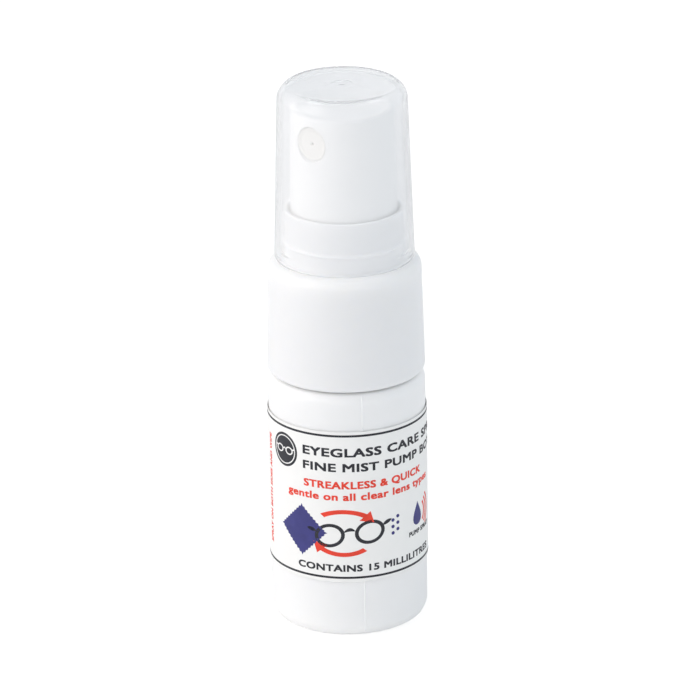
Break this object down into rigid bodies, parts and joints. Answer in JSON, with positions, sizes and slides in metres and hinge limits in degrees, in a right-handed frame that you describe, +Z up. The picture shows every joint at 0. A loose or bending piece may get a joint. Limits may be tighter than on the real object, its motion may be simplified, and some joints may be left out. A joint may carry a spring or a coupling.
{
  "type": "lens cleaning spray",
  "caption": "Small round plastic bottle with a paper label, a screw-on finger pump that makes a fine mist, and a frosted push-fit overcap.",
  "frame": {"origin": "on the bottle's axis, on the plane that the bottle stands on", "axes": "+Z up along the bottle's axis; the middle of the label faces -Y"},
  "size_m": [0.0252, 0.0252, 0.0884],
  "materials": {
    "bottle_plastic": "satin white blow-moulded polyethylene",
    "label_paper": "coated white paper, printed in black, red and blue",
    "collar_plastic": "smooth white moulded polypropylene",
    "overcap_plastic": "natural translucent polypropylene",
    "actuator_plastic": "smooth white moulded polypropylene",
    "nozzle_plastic": "ivory moulded acetal",
    "gasket_rubber": "matt black sealing rubber",
    "pump_plastic": "natural moulded polypropylene",
    "tube_plastic": "natural extruded polyethylene",
    "piston_plastic": "soft natural polyethylene",
    "pump_steel": "bright stainless steel"
  },
  "bodies": {
    "bottle_body": {"bottle": "bottle_plastic", "label": "label_paper"},
    "pump": {"pump_housing": "pump_plastic", "chaplet": "pump_plastic", "gasket": "gasket_rubber", "dip_tube": "tube_plastic", "return_spring": "pump_steel"},
    "collar": {"screw_collar": "collar_plastic"},
    "cap": {"overcap": "overcap_plastic"},
    "stem": {"upper_stem": "pump_plastic", "lower_stem": "pump_plastic"},
    "button": {"actuator": "actuator_plastic", "nozzle_insert": "nozzle_plastic"},
    "pump_piston": {"piston": "piston_plastic"},
    "ball": {"check_ball": "pump_steel"}
  },
  "joints": [
    {"name": "pump_lift", "type": "slide", "parent": "bottle_body", "child": "pump", "axis": [0, 0, 1], "range_m": [0, 0.00636]},
    {"name": "collar_turn", "type": "hinge", "parent": "pump", "child": "collar", "pos_m": [0, 0, 0.0508], "axis": [0, 0, 1], "range_deg": [0, 720]},
    {"name": "cap_lift", "type": "slide", "parent": "collar", "child": "cap", "axis": [0, 0, 1], "range_m": [0, 0.03]},
    {"name": "actuator_press", "type": "slide", "parent": "pump", "child": "stem", "axis": [0, 0, -1], "range_m": [0, 0.004], "stiffness_N_per_m": 900, "deforming": ["return_spring"]},
    {"name": "actuator_swivel", "type": "hinge", "parent": "stem", "child": "button", "pos_m": [0, 0, 0.0728], "axis": [0, 0, 1], "continuous": true},
    {"name": "piston_slip", "type": "slide", "parent": "stem", "child": "pump_piston", "axis": [0, 0, 1], "range_m": [0, 0.00061]},
    {"name": "ball_lift", "type": "slide", "parent": "pump", "child": "ball", "axis": [0, 0, 1], "range_m": [0, 0.0009]}
  ],
  "couplings": [
    {"joint": "pump_lift", "follows": "collar_turn", "m_per_rad": 0.00050532},
    {"joint": "piston_slip", "follows": "actuator_press", "ratio": 0.15}
  ]
}
